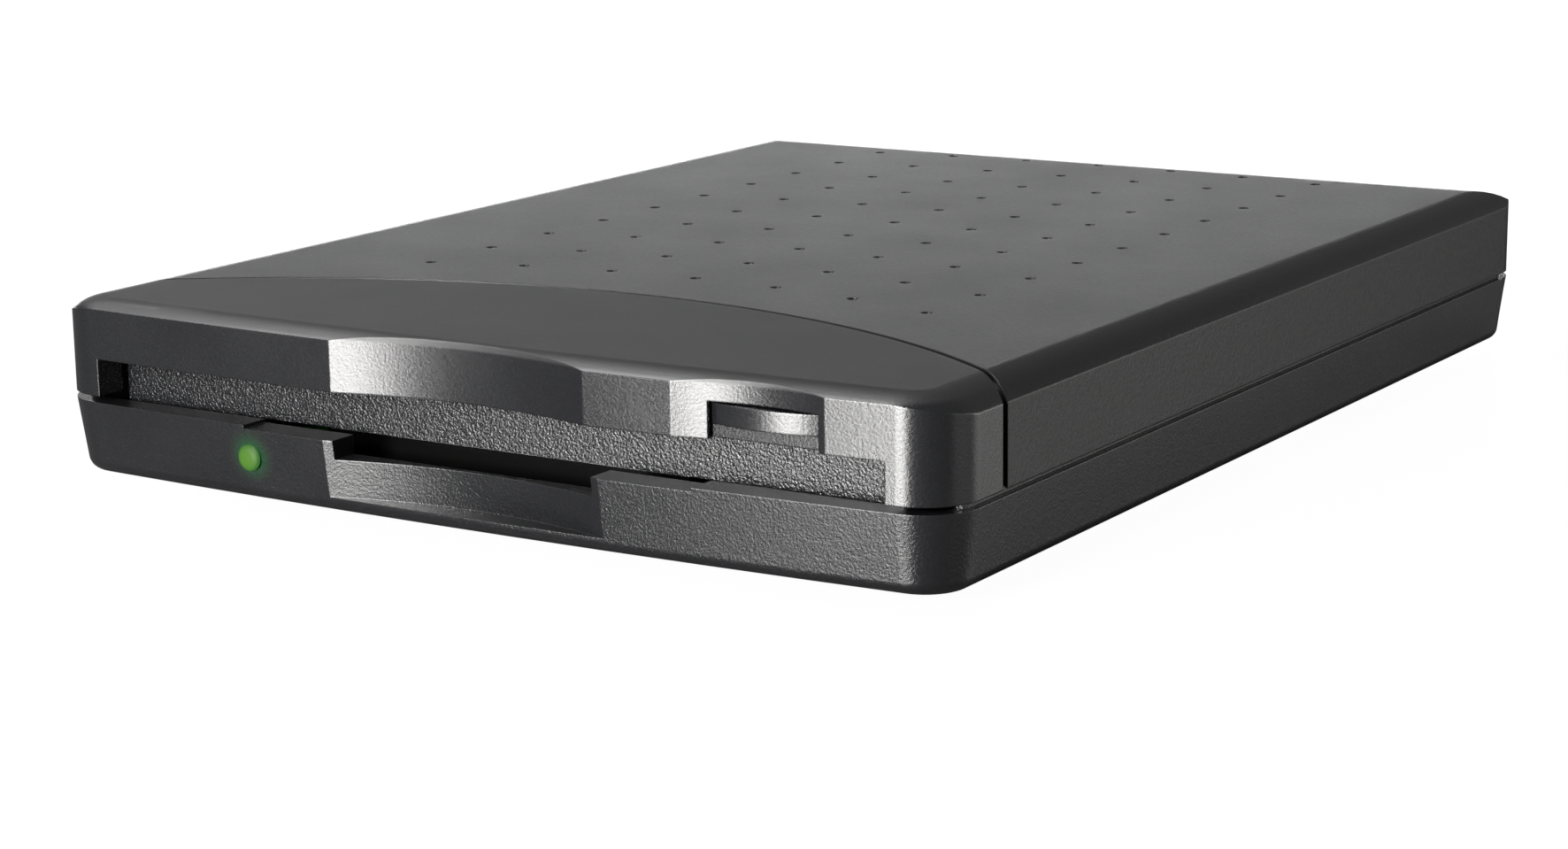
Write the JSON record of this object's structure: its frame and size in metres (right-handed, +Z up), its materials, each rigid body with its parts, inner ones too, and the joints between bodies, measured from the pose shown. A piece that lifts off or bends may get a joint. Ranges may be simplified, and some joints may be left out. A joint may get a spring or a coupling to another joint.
{
  "type": "external floppy disk drive",
  "caption": "Slim external drive for 3.5-inch disks: two-part shell with dimpled cover, sprung slot door, eject button, light, disk carrier, spindle, stepped heads and bus socket.",
  "frame": {"origin": "on the standing surface, under the middle of the shell", "axes": "+Z up from the feet, +Y from the slot at the front to the socket at the back, +X to the right seen from the front, where the eject button is"},
  "size_m": [0.1034, 0.1399, 0.0186],
  "materials": {
    "cover_plastic": "satin",
    "bezel_plastic": "satin",
    "case_plastic": "satin",
    "door_plastic": "matte",
    "foot_rubber": "matte",
    "zinc_screws": "satin",
    "ground_steel": "polished",
    "spring_steel": "satin",
    "pressed_steel": "satin",
    "led_green": "gloss",
    "led_resin": "gloss",
    "board_green": "satin",
    "black_resin": "matte",
    "sintered_bronze": "satin",
    "bonded_magnet": "matte",
    "stator_steel": "satin",
    "copper_wire": "gloss",
    "carriage_plastic": "matte",
    "head_ceramic": "gloss",
    "white_plastic": "satin",
    "motor_can": "satin",
    "socket_metal": "satin",
    "ribbon_film": "satin"
  },
  "bodies": {
    "case": {"top_cover": "cover_plastic", "front_bezel": "bezel_plastic", "bottom_case": "case_plastic", "rubber_feet": "foot_rubber", "case_screws": "zinc_screws", "frame_screws": "zinc_screws", "led_lens": "led_green", "door_pin": "ground_steel", "door_spring": "spring_steel", "drive_frame": "pressed_steel", "drive_top_plate": "pressed_steel", "machine_screws": "zinc_screws", "datum_pins": "ground_steel", "slide_guide_studs": "ground_steel", "slide_springs": "spring_steel", "latch_post": "ground_steel", "latch_spring": "spring_steel", "motor_board": "board_green", "driver_chips": "black_resin", "led_emitter": "led_resin", "spindle_bearing": "sintered_bronze", "stator_core": "stator_steel", "stator_coils": "copper_wire", "switch_housings": "black_resin", "guide_rod": "ground_steel", "rod_clamps": "white_plastic", "stepper_motor": "motor_can", "stepper_bracket": "pressed_steel", "screw_bearing": "sintered_bronze", "track_zero_sensor": "black_resin", "interface_board": "board_green", "interface_parts": "black_resin", "socket_shell": "socket_metal", "socket_insert": "black_resin", "ribbon_sockets": "white_plastic", "ribbon_cable": "ribbon_film"},
    "door": {"slot_door": "door_plastic"},
    "eject_slide": {"eject_button": "bezel_plastic", "eject_slide_plate": "pressed_steel"},
    "carrier": {"disk_carrier": "pressed_steel", "carrier_pins": "ground_steel"},
    "latch": {"latch_lever": "pressed_steel"},
    "spindle": {"spindle_shaft": "ground_steel", "spindle_rotor": "pressed_steel", "drive_pin": "ground_steel", "hub_magnet": "bonded_magnet", "rotor_magnet": "bonded_magnet"},
    "carriage": {"head_carriage": "carriage_plastic", "screw_follower": "white_plastic", "lower_head": "head_ceramic", "arm_pin": "ground_steel", "arm_spring": "spring_steel"},
    "upper_arm": {"upper_head_arm": "pressed_steel", "upper_head": "head_ceramic"},
    "lead_screw": {"lead_screw": "ground_steel"},
    "write_protect_plunger": {"write_protect_plunger": "white_plastic"},
    "density_plunger": {"density_plunger": "white_plastic"},
    "disk_in_plunger": {"disk_in_plunger": "white_plastic"}
  },
  "joints": [
    {"name": "slot_door_hinge", "type": "hinge", "parent": "case", "child": "door", "pos_m": [0, -0.0638, 0.01305], "axis": [1, 0, 0], "range_deg": [0, 90], "stiffness_Nm_per_rad": 0.0004, "springref_deg": -45.84},
    {"name": "eject_slide_travel", "type": "slide", "parent": "case", "child": "eject_slide", "axis": [0, -1, 0], "range_m": [0, 0.004], "deforming": ["slide_springs"]},
    {"name": "carrier_drop", "type": "slide", "parent": "case", "child": "carrier", "axis": [0, 0, -1], "range_m": [0, 0.0022]},
    {"name": "latch_turn", "type": "hinge", "parent": "case", "child": "latch", "pos_m": [0.03, 0.041, 0.01], "axis": [0, 0, 1], "range_deg": [-20, 0]},
    {"name": "spindle_spin", "type": "hinge", "parent": "case", "child": "spindle", "pos_m": [0, -0.0155, 0.005], "axis": [0, 0, 1], "continuous": true},
    {"name": "head_carriage_travel", "type": "slide", "parent": "case", "child": "carriage", "axis": [0, -1, 0], "range_m": [0, 0.0148]},
    {"name": "lead_screw_turn", "type": "hinge", "parent": "case", "child": "lead_screw", "pos_m": [-0.024, 0.04, 0.0092], "axis": [0, 1, 0], "range_deg": [0, 1421]},
    {"name": "upper_arm_lift", "type": "hinge", "parent": "carriage", "child": "upper_arm", "pos_m": [0, 0.0515, 0.0103], "axis": [1, 0, 0], "range_deg": [0, 11]},
    {"name": "write_protect_press", "type": "slide", "parent": "case", "child": "write_protect_plunger", "axis": [0, 0, -1], "range_m": [0, 0.0011], "stiffness_N_per_m": 100, "springref_m": -0.0008},
    {"name": "density_press", "type": "slide", "parent": "case", "child": "density_plunger", "axis": [0, 0, -1], "range_m": [0, 0.0011], "stiffness_N_per_m": 100, "springref_m": -0.0008},
    {"name": "disk_in_press", "type": "slide", "parent": "case", "child": "disk_in_plunger", "axis": [0, 0, -1], "range_m": [0, 0.0011], "stiffness_N_per_m": 100, "springref_m": -0.0008}
  ],
  "couplings": [
    {"joint": "carrier_drop", "follows": "eject_slide_travel", "ratio": 0.55},
    {"joint": "latch_turn", "follows": "eject_slide_travel", "rad_per_m": -87.266},
    {"joint": "upper_arm_lift", "follows": "eject_slide_travel", "rad_per_m": 47.996},
    {"joint": "lead_screw_turn", "follows": "head_carriage_travel", "rad_per_m": 1675.5}
  ]
}
